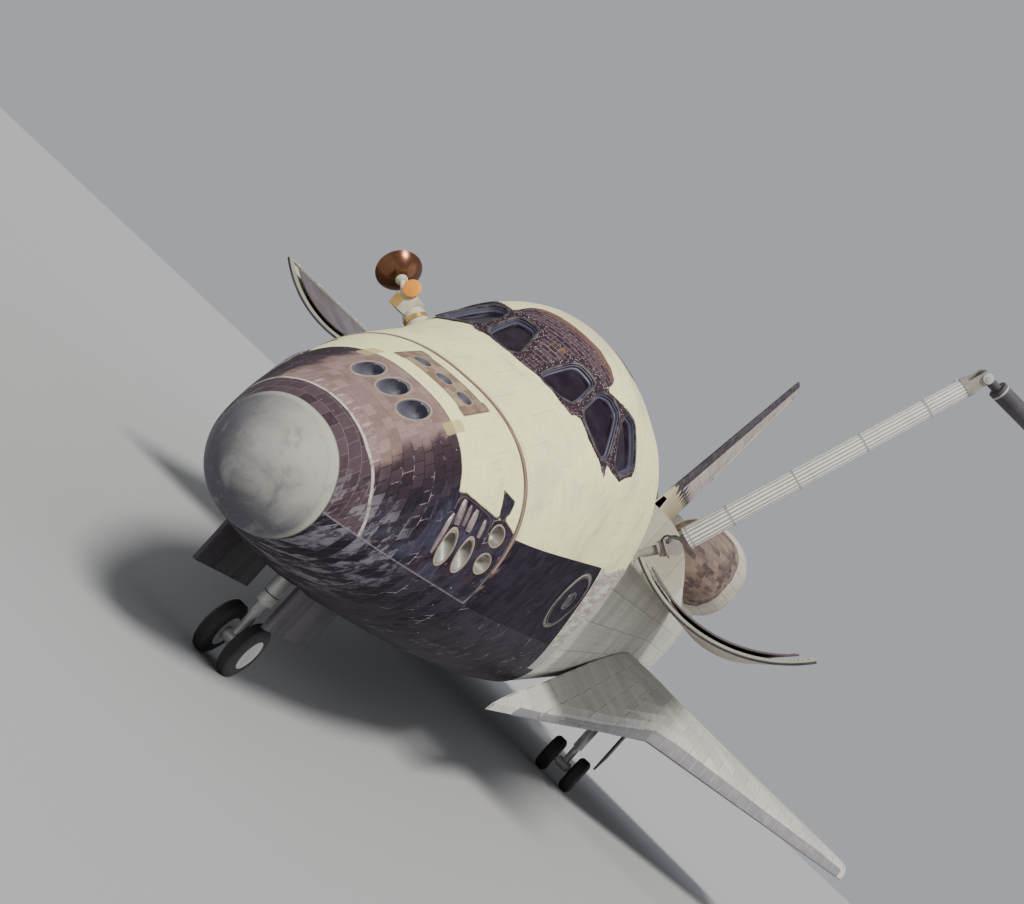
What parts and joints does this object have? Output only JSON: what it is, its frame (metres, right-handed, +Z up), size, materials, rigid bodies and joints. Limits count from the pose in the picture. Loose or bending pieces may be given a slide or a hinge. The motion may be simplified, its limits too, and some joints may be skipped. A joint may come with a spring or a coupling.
{
  "type": "space shuttle",
  "caption": "Winged space shuttle parked on its wheels with the payload bay doors open, the robot arm raised and the dish antenna out.",
  "frame": {"origin": "on the floor under the middle of the whole shuttle", "axes": "+X to the port side, +Y aft, -Y out of the nose, +Z up"},
  "size_m": [23.79, 36.3046, 17.2394],
  "materials": {
    "nose_cap_carbon": "matt pale grey carbon, mottled",
    "module_brown_tile": "matt brown-grey tiles",
    "black_tile": "matt dark grey tiles",
    "cabin_blanket": "matt cream tiles and blankets",
    "fuselage_blanket": "matt white quilted blankets",
    "fin_blanket": "matt cream blankets",
    "pod_tile": "matt cream and brown tiles",
    "window_glass": "dark glass",
    "deck_grey": "satin grey paint",
    "radiator_panel": "satin silver film",
    "engine_metal": "satin heat-stained metal",
    "nozzle_metal": "matt dark metal",
    "structure_metal": "satin primer",
    "gear_metal": "satin light grey paint",
    "tyre_rubber": "matt black rubber, smooth tread",
    "arm_grey_blanket": "matt grey fabric blanket",
    "arm_boom_blanket": "matt light grey fabric blanket",
    "antenna_metal": "satin white and gold foil",
    "dish_gold": "glossy gold-brown film"
  },
  "bodies": {
    "orbiter": {"nose_cap": "nose_cap_carbon", "forward_module": "module_brown_tile", "lower_forward_fuselage": "black_tile", "cabin_shell": "cabin_blanket", "windshield_port": "window_glass", "windshield_starboard": "window_glass", "overhead_window": "window_glass", "cabin_bulkhead": "fuselage_blanket", "rear_window": "window_glass", "flight_deck": "deck_grey", "mid_fuselage": "fuselage_blanket", "aft_fuselage": "fuselage_blanket", "thrust_structure": "structure_metal", "wing_port": "black_tile", "wing_starboard": "black_tile", "fin": "fin_blanket", "engine_pod_port": "pod_tile", "engine_pod_starboard": "pod_tile", "pod_nozzle_port": "nozzle_metal", "pod_nozzle_starboard": "nozzle_metal", "main_engine_top": "engine_metal", "main_engine_port": "engine_metal", "main_engine_starboard": "engine_metal", "nose_leg": "gear_metal", "main_leg_port": "gear_metal", "main_leg_starboard": "gear_metal", "nose_gear_door_port": "black_tile", "nose_gear_door_starboard": "black_tile", "main_gear_door_port": "black_tile", "main_gear_door_starboard": "black_tile", "arm_pedestal": "arm_grey_blanket", "antenna_bracket": "antenna_metal"},
    "crew_hatch": {"crew_hatch": "cabin_blanket"},
    "bay_door_port": {"bay_door_port": "fuselage_blanket"},
    "bay_door_starboard": {"bay_door_starboard": "fuselage_blanket"},
    "radiator_port": {"radiator_port": "radiator_panel"},
    "radiator_starboard": {"radiator_starboard": "radiator_panel"},
    "elevon_inner_port": {"elevon_inner_port": "black_tile"},
    "elevon_inner_starboard": {"elevon_inner_starboard": "black_tile"},
    "elevon_outer_port": {"elevon_outer_port": "black_tile"},
    "elevon_outer_starboard": {"elevon_outer_starboard": "black_tile"},
    "body_flap": {"body_flap": "black_tile"},
    "rudder": {"rudder_shaft": "structure_metal"},
    "rudder_panel_port": {"rudder_panel_port": "fin_blanket"},
    "rudder_panel_starboard": {"rudder_panel_starboard": "fin_blanket"},
    "nose_fork": {"nose_fork": "gear_metal"},
    "nose_wheels": {"nose_wheels": "tyre_rubber"},
    "main_wheels_port": {"main_wheels_port": "tyre_rubber"},
    "main_wheels_starboard": {"main_wheels_starboard": "tyre_rubber"},
    "arm_cradle": {"arm_cradle": "arm_grey_blanket"},
    "arm_shoulder": {"arm_shoulder": "arm_grey_blanket"},
    "arm_upper_boom": {"arm_upper_boom": "arm_boom_blanket"},
    "arm_forearm": {"arm_forearm": "arm_boom_blanket"},
    "arm_wrist_pitch": {"arm_wrist_pitch": "arm_boom_blanket"},
    "arm_wrist_yaw": {"arm_wrist_yaw": "arm_boom_blanket"},
    "arm_end_effector": {"arm_end_effector": "arm_boom_blanket"},
    "antenna": {"antenna_mast": "antenna_metal", "antenna_dish": "dish_gold"}
  },
  "joints": [
    {"name": "hatch_hinge", "type": "hinge", "parent": "orbiter", "child": "crew_hatch", "pos_m": [2.515, -11.27281, 3.26769], "axis": [0, 0.9976, 0.0693], "range_deg": [0, 90]},
    {"name": "port_door_hinge", "type": "hinge", "parent": "orbiter", "child": "bay_door_port", "pos_m": [2.61, -0.33202, 5.75624], "axis": [0, 0.9976, 0.0693], "range_deg": [-128, 47.5]},
    {"name": "starboard_door_hinge", "type": "hinge", "parent": "orbiter", "child": "bay_door_starboard", "pos_m": [-2.61, -0.33202, 5.75624], "axis": [0, -0.9976, -0.0693], "range_deg": [-142, 33.5]},
    {"name": "port_radiator_hinge", "type": "hinge", "parent": "bay_door_port", "child": "radiator_port", "pos_m": [2.92367, -5.32604, 5.49663], "axis": [0, -0.9976, -0.0693], "range_deg": [0, 35.5]},
    {"name": "starboard_radiator_hinge", "type": "hinge", "parent": "bay_door_starboard", "child": "radiator_starboard", "pos_m": [-2.93547, -5.3206, 5.41834], "axis": [0, 0.9976, 0.0693], "range_deg": [0, 35.5]},
    {"name": "port_inner_elevon_hinge", "type": "hinge", "parent": "orbiter", "child": "elevon_inner_port", "pos_m": [3.33, 11.06898, 3.75764], "axis": [-0.9998, 0.0013, -0.0186], "range_deg": [-35, 20]},
    {"name": "port_outer_elevon_hinge", "type": "hinge", "parent": "orbiter", "child": "elevon_outer_port", "pos_m": [7.953, 11.06301, 3.84361], "axis": [-0.9998, 0.0015, -0.0215], "range_deg": [-35, 20]},
    {"name": "starboard_inner_elevon_hinge", "type": "hinge", "parent": "orbiter", "child": "elevon_inner_starboard", "pos_m": [-3.33, 11.06898, 3.75764], "axis": [-0.9998, -0.0013, 0.0186], "range_deg": [-35, 20]},
    {"name": "starboard_outer_elevon_hinge", "type": "hinge", "parent": "orbiter", "child": "elevon_outer_starboard", "pos_m": [-7.953, 11.06301, 3.84361], "axis": [-0.9998, -0.0015, 0.0215], "range_deg": [-35, 20]},
    {"name": "body_flap_hinge", "type": "hinge", "parent": "orbiter", "child": "body_flap", "pos_m": [0, 14.79216, 3.62471], "axis": [-1, 0, 0], "range_deg": [-11.7, 22.5]},
    {"name": "rudder_hinge", "type": "hinge", "parent": "orbiter", "child": "rudder", "pos_m": [0, 15.0619, 14.00338], "axis": [0, 0.5123, 0.8588], "range_deg": [-27.1, 27.1]},
    {"name": "port_speedbrake_hinge", "type": "hinge", "parent": "rudder", "child": "rudder_panel_port", "pos_m": [0, 15.0619, 14.00338], "axis": [0, -0.5123, -0.8588], "range_deg": [0, 49.3]},
    {"name": "starboard_speedbrake_hinge", "type": "hinge", "parent": "rudder", "child": "rudder_panel_starboard", "pos_m": [0, 15.0619, 14.00338], "axis": [0, -0.5123, -0.8588], "range_deg": [-49.3, 0]},
    {"name": "nose_steering", "type": "hinge", "parent": "orbiter", "child": "nose_fork", "pos_m": [0, -14.41396, 0.406], "axis": [0, -0.0693, 0.9976], "range_deg": [-10, 10]},
    {"name": "nose_wheel_spin", "type": "hinge", "parent": "nose_fork", "child": "nose_wheels", "pos_m": [0, -14.41396, 0.406], "axis": [1, 0, 0], "continuous": true},
    {"name": "port_wheel_spin", "type": "hinge", "parent": "orbiter", "child": "main_wheels_port", "pos_m": [3.454, 5.8167, 0.565], "axis": [1, 0, 0], "continuous": true},
    {"name": "starboard_wheel_spin", "type": "hinge", "parent": "orbiter", "child": "main_wheels_starboard", "pos_m": [-3.454, 5.8167, 0.565], "axis": [1, 0, 0], "continuous": true},
    {"name": "arm_roll_out", "type": "hinge", "parent": "orbiter", "child": "arm_cradle", "pos_m": [2.29, -7.05636, 5.36909], "axis": [0, 0.9976, 0.0693], "range_deg": [-120, 60]},
    {"name": "arm_shoulder_yaw", "type": "hinge", "parent": "arm_cradle", "child": "arm_shoulder", "pos_m": [2.743, -7.10247, 6.03249], "axis": [0.5635, -0.0573, 0.8241], "range_deg": [-180, 180]},
    {"name": "arm_shoulder_pitch", "type": "hinge", "parent": "arm_shoulder", "child": "arm_upper_boom", "pos_m": [2.743, -7.10247, 6.03249], "axis": [0.3498, -0.8872, -0.3008], "range_deg": [-107.6, 39.4]},
    {"name": "arm_elbow", "type": "hinge", "parent": "arm_upper_boom", "child": "arm_forearm", "pos_m": [4.92183, -8.23985, 11.92005], "axis": [0.3498, -0.8872, -0.3008], "range_deg": [-85.4, 77]},
    {"name": "arm_wrist_pitch_hinge", "type": "hinge", "parent": "arm_forearm", "child": "arm_wrist_pitch", "pos_m": [11.49989, -5.67778, 12.01228], "axis": [0.3498, -0.8872, -0.3008], "range_deg": [-36.3, 206.3]},
    {"name": "arm_wrist_yaw_hinge", "type": "hinge", "parent": "arm_wrist_pitch", "child": "arm_wrist_yaw", "pos_m": [11.4922, -5.52638, 11.55685], "axis": [0.9367, 0.3367, 0.0961], "range_deg": [-121.3, 121.3]},
    {"name": "arm_wrist_roll", "type": "hinge", "parent": "arm_wrist_yaw", "child": "arm_end_effector", "pos_m": [11.4922, -5.52638, 11.55685], "axis": [-0.016, 0.3154, -0.9488], "continuous": true},
    {"name": "antenna_mast_hinge", "type": "hinge", "parent": "orbiter", "child": "antenna", "pos_m": [-2.27, -9.16904, 5.26235], "axis": [0, -0.9976, -0.0693], "range_deg": [-125, 60]}
  ],
  "couplings": [
    {"joint": "arm_roll_out", "follows": "port_door_hinge", "ratio": 0.71875},
    {"joint": "arm_shoulder_yaw", "follows": "port_door_hinge", "ratio": -0.6012},
    {"joint": "arm_shoulder_pitch", "follows": "port_door_hinge", "ratio": 0.7469},
    {"joint": "arm_elbow", "follows": "port_door_hinge", "ratio": -0.5516},
    {"joint": "arm_wrist_pitch_hinge", "follows": "port_door_hinge", "ratio": -0.6641},
    {"joint": "starboard_speedbrake_hinge", "follows": "port_speedbrake_hinge", "ratio": -1},
    {"joint": "antenna_mast_hinge", "follows": "starboard_door_hinge", "ratio": 0.85}
  ]
}
